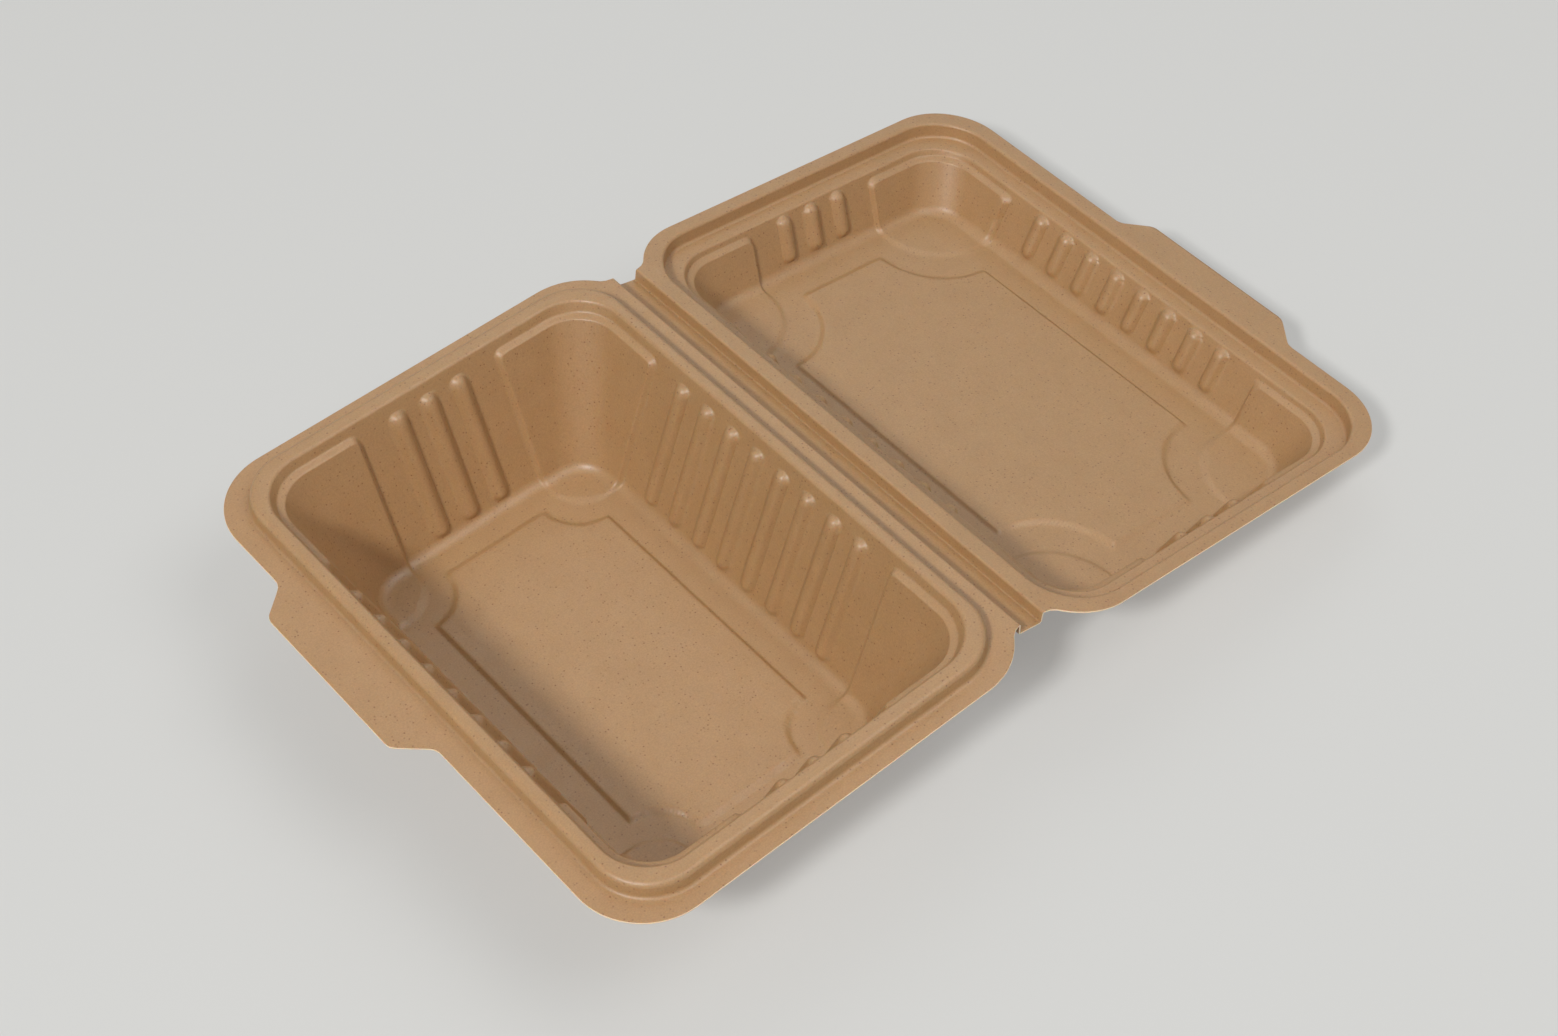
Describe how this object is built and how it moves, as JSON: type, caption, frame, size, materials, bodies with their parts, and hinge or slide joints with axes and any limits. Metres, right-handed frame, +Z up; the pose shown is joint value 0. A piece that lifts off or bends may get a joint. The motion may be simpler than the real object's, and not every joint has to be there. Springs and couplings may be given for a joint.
{
  "type": "hinged takeaway container",
  "caption": "Hinged takeaway food container of thin formed sheet, laid open: deep ribbed tray with a raised rim, folding hinge strip and shallow ribbed lid.",
  "frame": {"origin": "middle of the open container's outline, on the surface it rests on", "axes": "+X from the tray across the hinge to the lid, +Y along the hinge, +Z up out of the tray's mouth"},
  "size_m": [0.3628, 0.23, 0.0564],
  "materials": {
    "formed_sheet": "satin light-brown formed sheet with fine dark specks"
  },
  "bodies": {
    "tray": {"tray": "formed_sheet"},
    "hinge_strip": {"hinge_strip": "formed_sheet"},
    "lid": {"lid": "formed_sheet"}
  },
  "joints": [
    {"name": "tray_fold", "type": "hinge", "parent": "tray", "child": "hinge_strip", "pos_m": [-0.00324, 0, 0.04605], "axis": [0, -1, 0], "range_deg": [0, 104.5]},
    {"name": "lid_fold", "type": "hinge", "parent": "hinge_strip", "child": "lid", "pos_m": [0.00576, 0, 0.04372], "axis": [0, -1, 0], "range_deg": [0, 83.56]}
  ],
  "couplings": [
    {"joint": "lid_fold", "follows": "tray_fold", "ratio": 0.79959}
  ]
}
